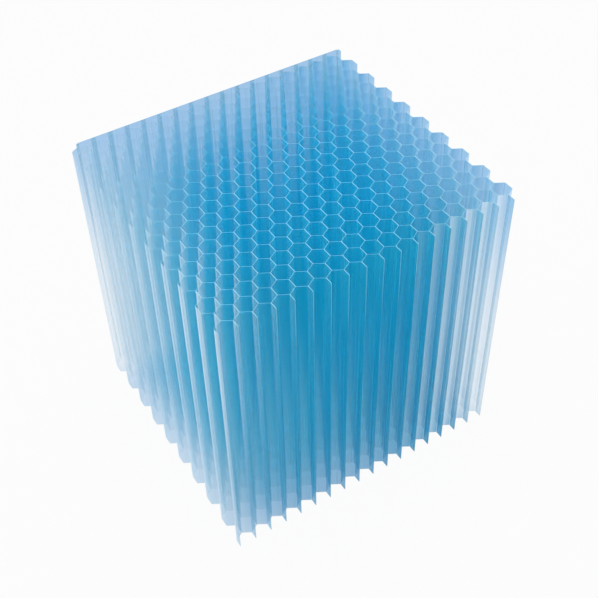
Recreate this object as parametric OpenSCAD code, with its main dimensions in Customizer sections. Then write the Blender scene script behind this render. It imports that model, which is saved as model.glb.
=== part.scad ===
// Honeycomb evaporative cooling pad of formed plastic film.
// Sheets of film, each formed into half-hexagon waves, are bonded flat to flat into upright open cells.
// A flat end sheet closes one side. Millimetres, +Z up along the cells, +X across the stack of sheets,
// +Y along the waves from the open side to the end sheet. The origin is below the middle of the block.

/* [Block] */
// Height of the block along its cells
block_height = 600; // [150:10:1200]
// Formed sheets in the stack
sheets = 35; // [3:1:55]
// Half waves formed along each sheet
half_waves = 19; // [5:1:35]

/* [Cells] */
// Spacing of two neighbouring bonded walls, from middle to middle
cell_pitch = 35; // [25:1:50]
// Free flat left at the open end of each sheet
front_flat = 16; // [4:0.5:18]

/* [Film] */
// Thickness of the formed film
film = 0.5; // [0.3:0.1:1]
// Bend radius at the middle of the film
bend_radius = 1.6; // [1:0.1:4]

/* [End sheet] */
// Thickness of the flat sheet across the closed side
end_film = 0.6; // [0.3:0.1:2]
// Radius of its trimmed corners
corner_radius = 6; // [2:1:15]

/* [Hidden] */
// Each bend turns a wave through this angle, in this many facets
bend_angle = 60;
bend_facets = 2;
corner_facets = 12;
// Two sheets fill one cell pitch, and their flats touch
sheet_pitch = cell_pitch / 2;
wave_height = sheet_pitch - film;
// Half a wave is a flat and a sloping wall, as long as in a net of regular hexagons
half_wave = sheet_pitch * tan(bend_angle);
slope_run = wave_height / tan(bend_angle);
flat = half_wave - slope_run;
// The last flat is cut through its middle
back_flat = flat / 2;
sheet_length = front_flat + half_waves * half_wave - flat + back_flat;
block_width = sheets * sheet_pitch;
front_y = -(sheet_length + end_film) / 2;
film_color = [0.06, 0.56, 0.80, 0.8];

function sheet_name(i) = str("corrugated_sheet_", i < 9 ? "0" : "", i + 1);

// Which side of the sheet's middle the flat before slope n lies on: even sheets start on the -X side
function side_of_flat(i, n) = (i + n) % 2 == 0 ? -1 : 1;

// Points round one bend of a face that lies off the film's middle by offset: leaving is 1 where the
// wave leaves its flat, and 0 where it joins the next one
function bend(i, n, leaving, offset) =
    let (
        side = side_of_flat(i, leaving == 1 ? n : n + 1),
        corner_y = front_flat + n * half_wave + (leaving == 1 ? 0 : slope_run),
        tangent = bend_radius * tan(bend_angle / 2),
        centre_y = corner_y + (leaving == 1 ? -tangent : tangent),
        centre_x = side * (wave_height / 2 - bend_radius),
        radius = bend_radius + side * offset,
        first = leaving == 1 ? 0 : -bend_angle
    )
    [for (step = [0 : bend_facets])
        let (turn = first + step * bend_angle / bend_facets)
        [centre_x + side * radius * cos(turn), centre_y + radius * sin(turn)]];

// One face of a formed sheet, from its open end to its back
function face_line(i, offset) = concat(
    [[side_of_flat(i, 0) * wave_height / 2 + offset, 0]],
    [for (n = [0 : half_waves - 1], leaving = [1, 0]) each bend(i, n, leaving, offset)],
    [[side_of_flat(i, half_waves) * wave_height / 2 + offset, sheet_length]]
);

// The end sheet reaches from the first sheet's last flat to the last sheet's, over both films
end_left = -block_width / 2 + (side_of_flat(0, half_waves) > 0 ? wave_height : 0);
end_right = block_width / 2 - (side_of_flat(sheets - 1, half_waves) < 0 ? wave_height : 0);

// Outline of the end sheet in X and Z, a quarter turn round each corner
function end_outline() = [for (quarter = [0 : 3], step = [0 : corner_facets])
    let (
        turn = 90 * (quarter + step / corner_facets),
        centre_x = quarter == 0 || quarter == 3 ? end_right - corner_radius : end_left + corner_radius,
        centre_z = quarter < 2 ? block_height - corner_radius : corner_radius
    )
    [centre_x + corner_radius * cos(turn), centre_z + corner_radius * sin(turn)]];

function reversed(points) = [for (n = [len(points) - 1 : -1 : 0]) points[n]];

module corrugated_sheet(i) {
    color(film_color)
        translate([(i - (sheets - 1) / 2) * sheet_pitch, front_y, 0])
            linear_extrude(block_height)
                polygon(concat(face_line(i, film / 2), reversed(face_line(i, -film / 2))));
}

module end_sheet() {
    color(film_color)
        translate([0, front_y + sheet_length + end_film, 0])
            rotate([90, 0, 0])
                linear_extrude(end_film)
                    polygon(end_outline());
}

for (i = [0 : sheets - 1])
    corrugated_sheet(i);
end_sheet();
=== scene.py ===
"""Honeycomb evaporative cooling pad of translucent blue film: looks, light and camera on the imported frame.

Metres, +Z up along the cells, +X across the stack of sheets, +Y from the open side to the flat end sheet.
"""

import math

import bpy
from mathutils import Matrix, Vector


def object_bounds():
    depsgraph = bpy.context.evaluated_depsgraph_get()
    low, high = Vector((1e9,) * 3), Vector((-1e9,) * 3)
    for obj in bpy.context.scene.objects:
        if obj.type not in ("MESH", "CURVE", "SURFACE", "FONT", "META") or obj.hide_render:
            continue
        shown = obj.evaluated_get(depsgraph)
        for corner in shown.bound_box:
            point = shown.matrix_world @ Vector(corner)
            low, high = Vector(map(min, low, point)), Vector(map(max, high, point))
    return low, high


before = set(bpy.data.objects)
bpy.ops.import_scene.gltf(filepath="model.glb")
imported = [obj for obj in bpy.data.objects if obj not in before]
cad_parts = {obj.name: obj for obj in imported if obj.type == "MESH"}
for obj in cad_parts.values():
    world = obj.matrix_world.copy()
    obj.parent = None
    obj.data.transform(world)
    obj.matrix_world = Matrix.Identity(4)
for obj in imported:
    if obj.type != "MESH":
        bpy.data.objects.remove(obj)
packed_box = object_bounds()

# Camera, from the corners of the block in the photograph
CAMERA_AIM = Vector((0.005, -0.021, 0.285))
CAMERA_DISTANCE = 2.138
CAMERA_AZIMUTH = -31.24
CAMERA_ELEVATION = 44.8
CAMERA_ROLL = -1.49
CAMERA_LENS = 63.7

# The two films: the blues that their streaks pass between, a paler colour painted on as light, the same
# close to the end sheet, and the share that one film hides of what lies behind it
FORMED_FILM = {
    "blue": (0.003, 0.62, 0.98, 1.0),
    "pale": (0.02, 0.74, 1.0, 1.0),
    "painted_pale": (0.10, 0.74, 1.0, 1.0),
    "painted_pale_back": (0.34, 0.72, 1.0, 1.0),
    "cover": 0.13,
}
END_FILM = {
    "blue": (0.05, 0.42, 0.86, 1.0),
    "pale": (0.07, 0.48, 0.94, 1.0),
    "painted_pale": (0.3, 0.5, 0.94, 1.0),
    "painted_pale_back": (0.3, 0.5, 0.94, 1.0),
    "cover": 0.22,
}

# The formed wave, from the free flat at the open side on, and the slope's share of half a wave
CELL_PITCH = 0.035
FRONT_FLAT = 0.016
HALF_WAVE = CELL_PITCH * math.sqrt(0.75)
SLOPE_SHARE = 0.32

# A flat or a cut edge has a normal almost along an axis, and on a slope turned to the left of the open side
# the normal's X and Y parts have the same sign
AXIS_FACING = 0.95
SLOPE_FACING = 0.2

# Streaks along the cells, and the pale scuffs where they are strongest
STREAK_SCALE = (420.0, 420.0, 2.5)
STREAK_DETAIL = 1.0
STREAK_LOW = 0.35
STREAK_GAIN = 3.3
STREAK_RELIEF = 0.0003
SCUFF_PALE = (0.12, 0.80, 1.0, 1.0)
SCUFF_COVER = 0.16
SCUFF_START = 0.55
SCUFF_FULL = 0.7

# The film hides more where two flats are bonded and where it is seen edge on
FLAT_COVER = 0.06
COVER_EDGE_ON = 0.26

# Painted light: the film is paler and hides less on the back left corner, on both sides and at the back
PAINTED_LIGHT_CLEAR = 0.63
LIT_CORNER_START = 0.05
LIT_CORNER_FULL = 0.35
SIDE_START = 0.12
SIDE_FULL = 0.31
RIGHT_PAINTED_LIGHT = 0.85
BACK_START = 0.04
BACK_FULL = 0.29
BACK_PAINTED_LIGHT = 0.7

# Painted shade: the open side is a darker blue, and greyer and less clear towards its bottom
OPEN_SHADE_TINT = (0.9, 0.84, 0.85, 1.0)
OPEN_SHADE_FRONT = -0.3
OPEN_SHADE_END = -0.08
LOW_SHADE_COLOUR = (0.22, 0.54, 0.80, 1.0)
LOW_SHADE_MIX = 0.45
LOW_SHADE_COVER = 0.1
LOW_SHADE_TOP = 0.36

# The end sheet is bonded to the ends of the flats in upright strips, one for each cell along it
BOND_BLUE = (0.003, 0.55, 0.95, 1.0)
BOND_COVER = 0.6
# The strips show less on the back left corner, where light is painted on
BOND_CORNER_DIM = 0.15
BOND_HALF = 0.005
BOND_SOFT = 0.001

# Cut edges are painted pale as a highlight, less so towards the back and down the open side
EDGE_HIGHLIGHT = (0.55, 0.88, 1.0, 1.0)
EDGE_HIGHLIGHT_COVER = 0.75
EDGE_FADE_START = 0.08
EDGE_FADE_FULL = 0.34
EDGE_BACK_START = 0.0
EDGE_BACK_FULL = 0.2
EDGE_BOTTOM = 0.4

# Bonds and the painted sheen grow stronger between these heights
UPPER_START = 0.2
UPPER_FULL = 0.6

# Light that is thrown around inside the block passes the film more easily, and loses its red
FILM_SHADE = 0.05
FILM_PASS = (0.88, 0.97, 0.99, 1.0)

# Painted sheen of the first films that a ray meets edge on, strongest where a flat ends in a ridge,
# and weaker on the back left corner
GLOSS_WHITE = (0.76, 0.88, 1.0, 1.0)
FILM_GLOSS = 0.2
SHEEN_MOST = 6.0
SHEEN_LOW = 0.5
SHEEN_FALL = 6.0
SHEEN_CORNER_DIM = 0.7
SHEEN_DEPTH = 4.5
RIDGE_START = 0.6
RIDGE_LOW = 0.4

# Soft light that rises along each outer slope towards its fold, and lies on the outer flats at the left
FOLD_RISE = -0.1
FOLD_LOW = 0.07
FOLD_LEFT = 0.06
FOLD_RIGHT = 0.62
FOLD_START = 0.05
FOLD_FULL = 0.24
FLAT_VEIL = 0.035

# A ray that has passed no film yet has a transparent depth below this
FIRST_FILM = 0.5

# Surround and floor
WHITE = (1.0, 1.0, 1.0, 1.0)
SKY_GREY = (0.8, 0.8, 0.8, 1.0)
SKY_LEVEL = 0.68
SKY_UP = 0.84
SKY_BACK = 0.65
SKY_LEFT = 0.12
FLOOR_SIZE = 24.0
FLOOR_WHITE = (0.55, 0.55, 0.55, 1.0)
FLOOR_GLOW = 0.95

# The block's blue shade on the floor, as it shows through the film: away from the block
SHADE_PALE = (0.92, 0.95, 0.98, 1.0)
SHADE_BLUE = (0.37, 0.59, 0.86, 1.0)
SHADE_START = 0.3
SHADE_FULL = 1.2

# Under the block, with soft edges, and cast past its back and right edges
UNDER_BLUE = (0.08, 0.40, 0.70, 1.0)
UNDER_DEEP = 0.16
UNDER_EDGE = 0.14
CAST_EDGE = 0.03
CAST_RIGHT = 0.03
CAST_BACK = 0.17
CAST_LEFT = -0.2
CAST_MIDDLE = 0.05

# The shade along the block's own rim: pale at the left, and dark at the right of the open side
RIM_PALE = (0.56, 0.70, 0.86, 1.0)
RIM_BLUE = (0.32, 0.50, 0.72, 1.0)
RIM_LEFT = -0.3
RIM_MIDDLE = -0.16
RIM_DARK = (0.12, 0.36, 0.58, 1.0)
RIM_START = -0.06
RIM_RIGHT = 0.14
RIM_BACK = 0.05
RIM_FRONT = 0.22

# The shade behind many films
MANY_BLUE = (0.02, 0.40, 0.72, 1.0)
MANY_START = 12.0
MANY_FULL = 30.0
MANY_LEFT = 0.0
MANY_RIGHT = 0.2

# The film is seen through many walls one behind the other
SEE_THROUGH_STEPS = 160
LIGHT_BOUNCES = 6


class Value:
    """A shader output that Python's operators combine through Math nodes."""

    def __init__(self, graph, output):
        self.graph = graph
        self.output = output

    def math(self, operation, *values):
        inputs = dict(enumerate(values))
        return self.graph.add("ShaderNodeMath", {"operation": operation}, inputs)

    def __add__(self, other):
        return self.math("ADD", self, other)

    def __radd__(self, other):
        return self.math("ADD", other, self)

    def __sub__(self, other):
        return self.math("SUBTRACT", self, other)

    def __rsub__(self, other):
        return self.math("SUBTRACT", other, self)

    def __mul__(self, other):
        return self.math("MULTIPLY", self, other)

    def __rmul__(self, other):
        return self.math("MULTIPLY", other, self)

    def __pow__(self, other):
        return self.math("POWER", self, other)

    def __neg__(self):
        return self * -1

    def __abs__(self):
        return self.math("ABSOLUTE", self)

    def __gt__(self, other):
        return self.math("GREATER_THAN", self, other)

    def __lt__(self, other):
        return self.math("LESS_THAN", self, other)

    def __or__(self, other):
        return self.math("MAXIMUM", self, other)


class Graph:
    """The node tree of a material or a world."""

    def __init__(self, owner):
        self.owner = owner
        owner.use_nodes = True
        self.tree = owner.node_tree
        self.tree.nodes.clear()

    def add(self, kind, settings=None, inputs=None, output=0):
        node = self.tree.nodes.new(kind)
        for key, value in (settings or {}).items():
            setattr(node, key, value)
        for key, value in (inputs or {}).items():
            if isinstance(value, Value):
                self.tree.links.new(value.output, node.inputs[key])
            else:
                node.inputs[key].default_value = value
        return Value(self, node.outputs[output] if node.outputs else None)

    def axes(self, vector, names):
        return [self.add("ShaderNodeSeparateXYZ", None, {0: vector}, output=name) for name in names]

    def light_path(self, name):
        return self.add("ShaderNodeLightPath", output=name)

    def mix(self, factor, first, second, blend="MIX"):
        settings = {"data_type": "RGBA", "blend_type": blend}
        return self.add("ShaderNodeMix", settings, {0: factor, 6: first, 7: second}, output=2)

    def mix_shader(self, factor, first, second):
        return self.add("ShaderNodeMixShader", None, {0: factor, 1: first, 2: second})

    def step(self, value, start, full):
        """0 up to start and 1 from full on, with a smooth rise between."""
        ends = {"Value": value, "From Min": start, "From Max": full}
        return self.add("ShaderNodeMapRange", {"interpolation_type": "SMOOTHSTEP"}, ends)

    def beyond(self, across, along, soft):
        """0 under the block and 1 past its edges, with a soft step inside them."""
        half_x, half_y = packed_box[1][:2]
        return self.step(across, half_x - soft, half_x) | self.step(along, half_y - soft, half_y)

    def seen_directly(self):
        """1 on rays from the camera, from gloss and through film, and 0 on light that is thrown around."""
        camera = self.light_path("Is Camera Ray")
        glossy = self.light_path("Is Glossy Ray")
        through = self.light_path("Is Transmission Ray")
        return camera | glossy | through


class Film(Graph):
    """Glossy see-through film with streaks along the cells, painted edge highlights and, if bonded, bond
    strips.
    """

    def __init__(self, name, looks, bonded=False):
        super().__init__(bpy.data.materials.new(name))
        self.looks = looks
        self.place = self.add("ShaderNodeTexCoord", output="Object")
        self.across, self.along, self.height = self.axes(self.place, "XYZ")
        self.upper = self.step(self.height, UPPER_START, UPPER_FULL)
        self.grazing = self.add("ShaderNodeLayerWeight", output="Facing")
        self.lay_streaks()
        self.sort_faces()
        self.paint_light_and_shade()
        self.bond = self.bond_strips() if bonded else None
        self.add("ShaderNodeOutputMaterial", None, {"Surface": self.surface()})

    def lay_streaks(self):
        stretch = {0: self.place, 1: STREAK_SCALE}
        stretched = self.add("ShaderNodeVectorMath", {"operation": "MULTIPLY"}, stretch)
        pattern = {"Vector": stretched, "Scale": 1.0, "Detail": STREAK_DETAIL}
        self.noise = self.add("ShaderNodeTexNoise", None, pattern)
        self.streak = (self.noise - STREAK_LOW) * STREAK_GAIN
        self.scuff = self.step(self.noise, SCUFF_START, SCUFF_FULL)

    def sort_faces(self):
        """Tell flats, slopes turned to the left of the open side, and cut edges apart by their normals."""
        normal = self.add("ShaderNodeNewGeometry", output="True Normal")
        sideways, lengthways, upright = self.axes(normal, "XYZ")
        self.flat = abs(sideways) > AXIS_FACING
        self.slope = sideways * lengthways > SLOPE_FACING
        self.edge = (abs(upright) > AXIS_FACING) | (lengthways < -AXIS_FACING)

    def paint_light_and_shade(self):
        """Where light, shade and the cut edges' highlight are painted on the film."""
        corner = (self.along - self.across) * math.sqrt(0.5)
        right = self.step(self.across, SIDE_START, SIDE_FULL)
        self.left = self.step(-self.across, SIDE_START, SIDE_FULL)
        # Light is painted on the back left corner, on both sides and at the back: the film turns paler there
        self.lit_corner = self.step(corner, LIT_CORNER_START, LIT_CORNER_FULL)
        self.painted_back_light = BACK_PAINTED_LIGHT * self.step(self.along, BACK_START, BACK_FULL)
        self.painted_light = self.lit_corner | self.left | RIGHT_PAINTED_LIGHT * right | self.painted_back_light
        # Painted shade on the open side, greyer and less clear towards its bottom
        self.open_shade = 1 - (self.step(self.along, OPEN_SHADE_FRONT, OPEN_SHADE_END) | right)
        self.low_shade = self.open_shade * (1 - self.step(self.height, 0.0, LOW_SHADE_TOP))
        # Where the painted highlight on cut edges fades
        edge_corner_fade = self.step(corner, EDGE_FADE_START, EDGE_FADE_FULL)
        self.edge_highlight_fade = edge_corner_fade | self.step(self.along, EDGE_BACK_START, EDGE_BACK_FULL)

    def bond_strips(self):
        aside = self.across.math("PINGPONG", packed_box[1][0] - self.across, CELL_PITCH / 2)
        return 1 - self.step(aside, BOND_HALF - BOND_SOFT, BOND_HALF + BOND_SOFT)

    def colour(self):
        streaked = self.mix(self.streak, self.looks["blue"], self.looks["pale"])
        # The paler colour painted on as light, on the sides, the back left corner and the back
        painted_pale = self.mix(self.painted_back_light, self.looks["painted_pale"], self.looks["painted_pale_back"])
        tone = self.mix(self.painted_light, streaked, painted_pale)
        # Painted shade: darker on the open side, and greyer towards its bottom
        open_shaded = self.mix(self.open_shade, tone, OPEN_SHADE_TINT, blend="MULTIPLY")
        scuffed = self.mix(self.scuff, open_shaded, SCUFF_PALE)
        low_shaded = self.mix(self.low_shade * LOW_SHADE_MIX, scuffed, LOW_SHADE_COLOUR)
        if self.bond is not None:
            low_shaded = self.mix(self.bond, low_shaded, BOND_BLUE)
        # Cut edges are painted pale as a highlight
        return self.mix(self.edge, low_shaded, EDGE_HIGHLIGHT)

    def cover(self, scattered):
        """The share that the film hides of what lies behind it."""
        hides = self.looks["cover"] + FLAT_COVER * self.flat + SCUFF_COVER * self.scuff
        hides = hides + COVER_EDGE_ON * self.grazing * self.grazing
        # Hides less where light is painted on, more under the painted shade at the bottom of the open side
        hides = hides * (1 - PAINTED_LIGHT_CLEAR * self.painted_light) + LOW_SHADE_COVER * self.low_shade
        if self.bond is not None:
            # Bond strips show less on the back left corner, where light is painted on
            hides = hides | self.bond * BOND_COVER * (1 - BOND_CORNER_DIM * self.lit_corner) * self.upper
        shaded = hides + (FILM_SHADE - hides) * scattered
        # The painted highlight on cut edges shows from this height up
        edge_top = self.step(self.height, EDGE_BOTTOM, packed_box[1][2])
        return shaded | self.edge * EDGE_HIGHLIGHT_COVER * edge_top * (1 - self.edge_highlight_fade)

    def sheen(self):
        """The share of gloss, painted by place as a sheen, on rays from the camera alone."""
        depth = self.light_path("Transparent Depth")
        wave = (self.along - (packed_box[0][1] + FRONT_FLAT)) * (1 / HALF_WAVE)
        turn = wave.math("FRACT", wave)
        ridge = RIDGE_LOW + (1 - RIDGE_LOW) * self.step(turn, RIDGE_START, 1.0)
        # The painted sheen is weaker on the back left corner
        lustre = ridge * (SHEEN_LOW + (1 - SHEEN_LOW) * self.upper) * (1 - SHEEN_CORNER_DIM * self.lit_corner)
        edge_on = SHEEN_MOST * self.grazing ** SHEEN_FALL * lustre * (depth < SHEEN_DEPTH)
        light = FOLD_LOW * (1 - self.upper) + FOLD_LEFT * self.left
        light = light + FOLD_RIGHT * self.step(self.across, FOLD_START, FOLD_FULL)
        slopes = light * self.step(turn, FOLD_RISE, SLOPE_SHARE) * self.slope
        outer = (slopes + FLAT_VEIL * self.left * self.flat) * (depth < FIRST_FILM)
        return (edge_on + outer) * self.light_path("Is Camera Ray")

    def surface(self):
        scattered = self.light_path("Is Diffuse Ray")
        matt = {"Base Color": self.colour(), "Roughness": 1.0, "Specular IOR Level": 0.0}
        tint = self.add("ShaderNodeBsdfPrincipled", None, matt)
        clear = self.add("ShaderNodeBsdfTransparent")
        passed = self.add("ShaderNodeBsdfTransparent", None, {"Color": FILM_PASS})
        film = self.mix_shader(self.cover(scattered), self.mix_shader(scattered, clear, passed), tint)
        relief = self.add("ShaderNodeBump", None, {"Height": self.noise, "Distance": STREAK_RELIEF})
        shiny = {"Color": GLOSS_WHITE, "Roughness": FILM_GLOSS, "Normal": relief}
        gloss = self.add("ShaderNodeBsdfGlossy", None, shiny)
        behind = self.add("ShaderNodeNewGeometry", output="Backfacing")
        return self.mix_shader(behind, self.mix_shader(self.sheen(), film, gloss), clear)


def floor_material():
    """White, with the block's blue shade where the floor is seen through film."""
    graph = Graph(bpy.data.materials.new("floor_white"))
    right, back = graph.axes(graph.add("ShaderNodeTexCoord", output="Object"), "XY")
    shade = graph.mix(graph.step(right + back, SHADE_START, SHADE_FULL), SHADE_PALE, SHADE_BLUE)
    near = graph.step(right, RIM_START, RIM_RIGHT) * graph.step(-back, RIM_BACK, RIM_FRONT)
    rim = graph.mix(graph.step(right, RIM_LEFT, RIM_MIDDLE), RIM_PALE, RIM_BLUE)
    cast = back - CAST_EDGE - CAST_BACK * graph.step(right, CAST_LEFT, CAST_MIDDLE)
    inner = graph.beyond(abs(right), cast | -back, UNDER_DEEP)
    under = graph.mix(inner, UNDER_BLUE, graph.mix(near, rim, RIM_DARK))
    shaded = graph.mix(graph.beyond(right - CAST_RIGHT, cast, UNDER_EDGE), under, shade)
    depth = graph.light_path("Transparent Depth")
    many = graph.step(depth, MANY_START, MANY_FULL) * graph.step(right, MANY_LEFT, MANY_RIGHT)
    colour = graph.mix(depth > FIRST_FILM, WHITE, graph.mix(many, shaded, MANY_BLUE))
    glow = graph.add("ShaderNodeEmission", None, {"Color": colour})
    lit = graph.add("ShaderNodeBsdfDiffuse", None, {"Color": FLOOR_WHITE})
    surface = graph.mix_shader(graph.seen_directly() * FLOOR_GLOW, lit, glow)
    graph.add("ShaderNodeOutputMaterial", None, {"Surface": surface})
    return graph.owner


def light_world():
    """A pale surround that lights more from above and from behind, and is even where it is seen."""
    world = bpy.data.worlds.new("studio")
    bpy.context.scene.world = world
    world.cycles.sampling_method = "NONE"
    graph = Graph(world)
    right, back, up = graph.axes(graph.add("ShaderNodeTexCoord", output="Generated"), "XYZ")
    level = SKY_LEVEL + SKY_UP * up + SKY_BACK * back - SKY_LEFT * right
    surround = graph.add("ShaderNodeBackground", None, {"Color": SKY_GREY, "Strength": level})
    even = graph.add("ShaderNodeBackground", None, {"Color": SKY_GREY})
    surface = graph.mix_shader(graph.seen_directly(), surround, even)
    graph.add("ShaderNodeOutputWorld", None, {"Surface": surface})


def add_floor():
    bpy.ops.mesh.primitive_plane_add(size=FLOOR_SIZE)
    floor = bpy.context.object
    floor.name = "floor"
    floor.data.materials.append(floor_material())


def add_camera():
    azimuth = math.radians(CAMERA_AZIMUTH)
    elevation = math.radians(CAMERA_ELEVATION)
    back = Vector((
        math.sin(azimuth) * math.cos(elevation),
        -math.cos(azimuth) * math.cos(elevation),
        math.sin(elevation),
    ))
    roll = Matrix.Rotation(math.radians(CAMERA_ROLL), 3, "Z")
    turn = back.to_track_quat("Z", "Y").to_matrix() @ roll
    bpy.ops.object.camera_add(location=CAMERA_AIM + CAMERA_DISTANCE * back, rotation=turn.to_euler())
    camera = bpy.context.object
    camera.data.lens = CAMERA_LENS
    bpy.context.scene.camera = camera


formed_film = Film("formed_film", FORMED_FILM).owner
end_film = Film("end_film", END_FILM, bonded=True).owner
for name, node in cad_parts.items():
    for slot in node.material_slots:
        slot.material = end_film if name == "end_sheet" else formed_film

light_world()
add_floor()
add_camera()

scene = bpy.context.scene
scene.view_settings.view_transform = "Standard"
scene.cycles.transparent_max_bounces = SEE_THROUGH_STEPS
scene.cycles.max_bounces = LIGHT_BOUNCES
